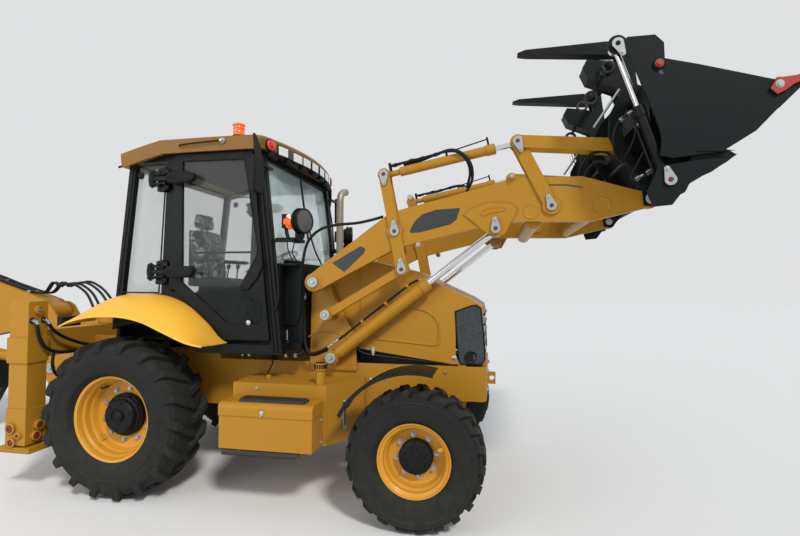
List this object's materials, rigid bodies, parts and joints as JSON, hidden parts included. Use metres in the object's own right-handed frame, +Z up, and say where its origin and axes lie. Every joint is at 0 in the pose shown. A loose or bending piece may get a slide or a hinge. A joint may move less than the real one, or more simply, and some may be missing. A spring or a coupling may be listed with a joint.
{
  "type": "backhoe loader with clam bucket, fold-over forks and side-shift digging arm",
  "caption": "Ochre backhoe loader with a black cab, a raised clam loader bucket with fold-over forks, and a side-shift digging arm folded behind.",
  "frame": {"origin": "on the ground under the middle of the machine's length and width", "axes": "+X forward, +Y to the machine's left, +Z up"},
  "size_m": [9.225, 2.292, 3.462],
  "materials": {
    "chassis_paint": "satin ochre yellow",
    "fender_paint": "satin orange yellow",
    "dark_paint": "satin charcoal",
    "frame_paint": "semi-gloss black",
    "rod_chrome": "polished",
    "pin_steel": "zinc plated",
    "block_iron": "painted cast iron",
    "tyre_rubber": "dusty rubber",
    "window_glass": "tinted",
    "trim_plastic": "moulded",
    "bucket_steel": "worn charcoal"
  },
  "bodies": {
    "machine": {"chassis": "chassis_paint", "engine_block": "block_iron", "axles": "dark_paint", "side_tanks": "chassis_paint", "cab_frame": "frame_paint", "cab_roof": "chassis_paint", "cab_glass": "window_glass", "cab_interior": "trim_plastic", "fittings": "frame_paint", "fenders": "fender_paint", "rear_frame": "chassis_paint"},
    "lid": {"toolbox_lid": "chassis_paint"},
    "right_door": {"door_right": "frame_paint"},
    "left_door": {"door_left": "frame_paint"},
    "hood": {"bonnet": "chassis_paint", "grille": "trim_plastic"},
    "right_leg": {"stabiliser_right": "chassis_paint"},
    "left_leg": {"stabiliser_left": "chassis_paint"},
    "right_knuckle": {"knuckle_right": "dark_paint"},
    "left_knuckle": {"knuckle_left": "dark_paint"},
    "rear_right_wheel": {"rim_rear_right": "fender_paint", "tyre_rear_right": "tyre_rubber"},
    "rear_left_wheel": {"rim_rear_left": "fender_paint", "tyre_rear_left": "tyre_rubber"},
    "front_right_wheel": {"rim_front_right": "fender_paint", "tyre_front_right": "tyre_rubber"},
    "front_left_wheel": {"rim_front_left": "fender_paint", "tyre_front_left": "tyre_rubber"},
    "arm_pair": {"arms": "chassis_paint"},
    "lever_set": {"levers": "chassis_paint"},
    "level_link_pair": {"level_links": "chassis_paint"},
    "lift_barrel_pair": {"lift_barrels": "chassis_paint"},
    "lift_rod_pair": {"lift_rods": "rod_chrome"},
    "crank_pins": {"bell_pins": "pin_steel"},
    "crank_set": {"bell_cranks": "chassis_paint"},
    "tilt_link_pins": {"link_pins": "pin_steel"},
    "tilt_link_pair": {"tilt_links": "chassis_paint"},
    "tilt_barrel_pair": {"tilt_barrels": "chassis_paint"},
    "tilt_rod_pair": {"tilt_rods": "rod_chrome"},
    "bucket_pins": {"tip_pins": "pin_steel"},
    "shovel": {"bucket_back": "bucket_steel"},
    "clam": {"bucket_clam": "bucket_steel"},
    "clam_barrel_pair": {"clam_barrels": "dark_paint"},
    "clam_rod_pair": {"clam_rods": "rod_chrome"},
    "fork_pair": {"forks": "bucket_steel"},
    "carriage": {"shift_carriage": "chassis_paint"},
    "swing_post": {"kingpost": "chassis_paint"},
    "right_swing_rod": {"swing_rod_right": "rod_chrome"},
    "left_swing_rod": {"swing_rod_left": "rod_chrome"},
    "digging_boom": {"boom": "chassis_paint"},
    "boom_ram_barrel": {"boom_barrel": "chassis_paint"},
    "boom_ram_rod": {"boom_rod": "rod_chrome"},
    "dipper_arm": {"dipper": "chassis_paint"},
    "dipper_ram_barrel": {"dipper_barrel": "chassis_paint"},
    "dipper_ram_rod": {"dipper_rod": "rod_chrome"},
    "hoe_ram_barrel": {"hoe_barrel": "chassis_paint"},
    "hoe_ram_rod": {"hoe_rod": "rod_chrome"},
    "tipping_links": {"hoe_links": "chassis_paint"},
    "bucket_link": {"power_link": "chassis_paint"},
    "digging_bucket": {"hoe_bucket": "dark_paint"}
  },
  "joints": [
    {"name": "toolbox_lid_open", "type": "hinge", "parent": "machine", "child": "lid", "pos_m": [-0.07245, -0.886, 0.8], "axis": [-1, 0, 0], "range_deg": [0, 75]},
    {"name": "right_door_open", "type": "hinge", "parent": "machine", "child": "right_door", "pos_m": [0.05755, -0.815, 1], "axis": [0, 0, -1], "range_deg": [0, 75]},
    {"name": "left_door_open", "type": "hinge", "parent": "machine", "child": "left_door", "pos_m": [0.05755, 0.815, 1], "axis": [0, 0, 1], "range_deg": [0, 75]},
    {"name": "bonnet_open", "type": "hinge", "parent": "machine", "child": "hood", "pos_m": [1.43755, 0, 1.815], "axis": [0, -1, 0], "range_deg": [0, 50]},
    {"name": "right_stabiliser_down", "type": "slide", "parent": "machine", "child": "right_leg", "axis": [0, 0, -1], "range_m": [0, 0.45]},
    {"name": "left_stabiliser_down", "type": "slide", "parent": "machine", "child": "left_leg", "axis": [0, 0, -1], "range_m": [0, 0.45]},
    {"name": "right_wheel_steer", "type": "hinge", "parent": "machine", "child": "right_knuckle", "pos_m": [2.27755, -0.69, 0.476], "axis": [0, 0, 1], "range_deg": [-28, 28]},
    {"name": "left_wheel_steer", "type": "hinge", "parent": "machine", "child": "left_knuckle", "pos_m": [2.27755, 0.69, 0.476], "axis": [0, 0, 1], "range_deg": [-28, 28]},
    {"name": "rear_right_wheel_turn", "type": "hinge", "parent": "machine", "child": "rear_right_wheel", "pos_m": [-0.07245, -0.893, 0.616], "axis": [0, 1, 0], "continuous": true},
    {"name": "rear_left_wheel_turn", "type": "hinge", "parent": "machine", "child": "rear_left_wheel", "pos_m": [-0.07245, 0.893, 0.616], "axis": [0, 1, 0], "continuous": true},
    {"name": "front_right_wheel_turn", "type": "hinge", "parent": "right_knuckle", "child": "front_right_wheel", "pos_m": [2.27755, -0.975, 0.476], "axis": [0, 1, 0], "continuous": true},
    {"name": "front_left_wheel_turn", "type": "hinge", "parent": "left_knuckle", "child": "front_left_wheel", "pos_m": [2.27755, 0.975, 0.476], "axis": [0, 1, 0], "continuous": true},
    {"name": "arm_lift", "type": "hinge", "parent": "machine", "child": "arm_pair", "pos_m": [1.40255, 0, 1.668], "axis": [0, -1, 0], "range_deg": [-47, 31]},
    {"name": "level_link_swing", "type": "hinge", "parent": "machine", "child": "level_link_pair", "pos_m": [1.50755, 0, 1.412], "axis": [0, -1, 0], "range_deg": [-51.57, 34.36]},
    {"name": "lever_swing", "type": "hinge", "parent": "arm_pair", "child": "lever_set", "pos_m": [2.05955, 0, 2.061], "axis": [0, -1, 0], "range_deg": [-30.14, 45.18]},
    {"name": "tilt_barrel_swing", "type": "hinge", "parent": "lever_set", "child": "tilt_barrel_pair", "pos_m": [1.97255, 0, 2.504], "axis": [0, -1, 0], "range_deg": [-49.41, 32.93]},
    {"name": "lift_barrel_swing", "type": "hinge", "parent": "machine", "child": "lift_barrel_pair", "pos_m": [1.52455, 0, 1.064], "axis": [0, -1, 0], "range_deg": [-41.96, 28.02]},
    {"name": "lift_rod_slide", "type": "slide", "parent": "lift_barrel_pair", "child": "lift_rod_pair", "axis": [0.7897, 0, 0.6135], "range_m": [-0.4662, 0.3089]},
    {"name": "crank_level", "type": "hinge", "parent": "arm_pair", "child": "crank_pins", "pos_m": [3.21655, 0, 2.228], "axis": [0, -1, 0], "range_deg": [-27.72, 41.51]},
    {"name": "link_level", "type": "hinge", "parent": "crank_set", "child": "tilt_link_pins", "pos_m": [2.97955, 0, 2.707], "axis": [0, -1, 0], "range_deg": [-38.84, 25.96]},
    {"name": "bucket_level", "type": "hinge", "parent": "arm_pair", "child": "bucket_pins", "pos_m": [3.88255, 0, 2.258], "axis": [0, -1, 0], "range_deg": [-32, 48]},
    {"name": "bucket_tilt", "type": "hinge", "parent": "bucket_pins", "child": "shovel", "pos_m": [3.88255, 0, 2.258], "axis": [0, 1, 0], "range_deg": [-4, 88]},
    {"name": "crank_swing", "type": "hinge", "parent": "crank_pins", "child": "crank_set", "pos_m": [3.21655, 0, 2.228], "axis": [0, 1, 0], "range_deg": [-4.01, 67.23]},
    {"name": "tilt_link_swing", "type": "hinge", "parent": "tilt_link_pins", "child": "tilt_link_pair", "pos_m": [2.97955, 0, 2.707], "axis": [0, 1, 0], "range_deg": [-56.7, 3.53]},
    {"name": "tilt_rod_slide", "type": "slide", "parent": "tilt_barrel_pair", "child": "tilt_rod_pair", "axis": [0.9803, 0, 0.1976], "range_m": [-0.0292, 0.5588]},
    {"name": "clam_open", "type": "hinge", "parent": "shovel", "child": "clam", "pos_m": [3.80555, 0, 3.016], "axis": [0, -1, 0], "range_deg": [0, 45]},
    {"name": "clam_barrel_swing", "type": "hinge", "parent": "shovel", "child": "clam_barrel_pair", "pos_m": [3.86055, 0, 2.297], "axis": [0, -1, 0], "range_deg": [-1, 9.41]},
    {"name": "clam_rod_slide", "type": "slide", "parent": "clam_barrel_pair", "child": "clam_rod_pair", "axis": [-0.3189, 0, 0.9478], "range_m": [-0.1789, 0.004]},
    {"name": "fork_fold", "type": "hinge", "parent": "shovel", "child": "fork_pair", "pos_m": [3.74755, 0, 3.4], "axis": [0, -1, 0], "range_deg": [-205, 0]},
    {"name": "side_shift", "type": "slide", "parent": "machine", "child": "carriage", "axis": [0, 1, 0], "range_m": [-0.45, 0.45]},
    {"name": "boom_swing", "type": "hinge", "parent": "carriage", "child": "swing_post", "pos_m": [-1.32245, 0, 0.8], "axis": [0, 0, 1], "range_deg": [-90, 90]},
    {"name": "right_swing_rod_slide", "type": "slide", "parent": "carriage", "child": "right_swing_rod", "axis": [1, 0, 0], "range_m": [-0.1085, 0.1085]},
    {"name": "left_swing_rod_slide", "type": "slide", "parent": "carriage", "child": "left_swing_rod", "axis": [1, 0, 0], "range_m": [-0.1085, 0.1085]},
    {"name": "boom_raise", "type": "hinge", "parent": "swing_post", "child": "digging_boom", "pos_m": [-1.69245, 0, 1.36], "axis": [0, 1, 0], "range_deg": [-40, 55]},
    {"name": "boom_barrel_swing", "type": "hinge", "parent": "swing_post", "child": "boom_ram_barrel", "pos_m": [-1.57245, 0, 0.8], "axis": [0, 1, 0], "range_deg": [-34.74, 47.39]},
    {"name": "boom_rod_slide", "type": "slide", "parent": "boom_ram_barrel", "child": "boom_ram_rod", "axis": [-0.9924, 0, 0.1232], "range_m": [-0.3515, 0.4819]},
    {"name": "dipper_reach", "type": "hinge", "parent": "digging_boom", "child": "dipper_arm", "pos_m": [-4.28258, 0, 1.91055], "axis": [0, 1, 0], "range_deg": [0, 110]},
    {"name": "dipper_barrel_swing", "type": "hinge", "parent": "digging_boom", "child": "dipper_ram_barrel", "pos_m": [-2.82245, 0, 1.93], "axis": [0, 1, 0], "range_deg": [-1, 3.98]},
    {"name": "dipper_rod_slide", "type": "slide", "parent": "dipper_ram_barrel", "child": "dipper_ram_rod", "axis": [-0.9851, 0, 0.1721], "range_m": [-0.695, 0.004]},
    {"name": "hoe_bucket_open", "type": "hinge", "parent": "dipper_arm", "child": "digging_bucket", "pos_m": [-3.25412, 0, 0.68488], "axis": [0, 1, 0], "range_deg": [0, 112]},
    {"name": "tipping_link_swing", "type": "hinge", "parent": "dipper_arm", "child": "tipping_links", "pos_m": [-3.51124, 0, 0.9913], "axis": [0, 1, 0], "range_deg": [-1, 113.35]},
    {"name": "bucket_link_swing", "type": "hinge", "parent": "tipping_links", "child": "bucket_link", "pos_m": [-3.476, 0, 0.69337], "axis": [0, 1, 0], "range_deg": [-121.69, 1]},
    {"name": "hoe_barrel_swing", "type": "hinge", "parent": "dipper_arm", "child": "hoe_ram_barrel", "pos_m": [-4.36086, 0, 1.58379], "axis": [0, 1, 0], "range_deg": [-1.4, 1]},
    {"name": "hoe_rod_slide", "type": "slide", "parent": "hoe_ram_barrel", "child": "hoe_ram_rod", "axis": [0.7049, 0, -0.7093], "range_m": [-0.4728, 0.004]}
  ],
  "couplings": [
    {"joint": "left_wheel_steer", "follows": "right_wheel_steer", "ratio": 1},
    {"joint": "level_link_swing", "follows": "arm_lift", "ratio": 1.076},
    {"joint": "lever_swing", "follows": "arm_lift", "ratio": -0.94},
    {"joint": "tilt_barrel_swing", "follows": "arm_lift", "ratio": 1.03},
    {"joint": "lift_barrel_swing", "follows": "arm_lift", "ratio": 0.8715},
    {"joint": "lift_rod_slide", "follows": "arm_lift", "m_per_rad": 0.5635},
    {"joint": "crank_level", "follows": "arm_lift", "ratio": -0.862},
    {"joint": "link_level", "follows": "arm_lift", "ratio": 0.805},
    {"joint": "bucket_level", "follows": "arm_lift", "ratio": -1},
    {"joint": "crank_swing", "follows": "bucket_tilt", "ratio": 0.7526},
    {"joint": "tilt_link_swing", "follows": "bucket_tilt", "ratio": -0.633},
    {"joint": "tilt_rod_slide", "follows": "bucket_tilt", "m_per_rad": 0.3612},
    {"joint": "clam_barrel_swing", "follows": "clam_open", "ratio": 0.187},
    {"joint": "clam_rod_slide", "follows": "clam_open", "m_per_rad": -0.2227},
    {"joint": "right_swing_rod_slide", "follows": "boom_swing", "m_per_rad": 0.0665},
    {"joint": "left_swing_rod_slide", "follows": "boom_swing", "m_per_rad": -0.0665},
    {"joint": "boom_barrel_swing", "follows": "boom_raise", "ratio": 0.8434},
    {"joint": "boom_rod_slide", "follows": "boom_raise", "m_per_rad": 0.4978},
    {"joint": "dipper_barrel_swing", "follows": "dipper_reach", "ratio": 0.0271},
    {"joint": "dipper_rod_slide", "follows": "dipper_reach", "m_per_rad": -0.3599},
    {"joint": "tipping_link_swing", "follows": "hoe_bucket_open", "ratio": 1.0031},
    {"joint": "bucket_link_swing", "follows": "hoe_bucket_open", "ratio": -1.0776},
    {"joint": "hoe_barrel_swing", "follows": "hoe_bucket_open", "ratio": -0.0036},
    {"joint": "hoe_rod_slide", "follows": "hoe_bucket_open", "m_per_rad": -0.2398}
  ]
}
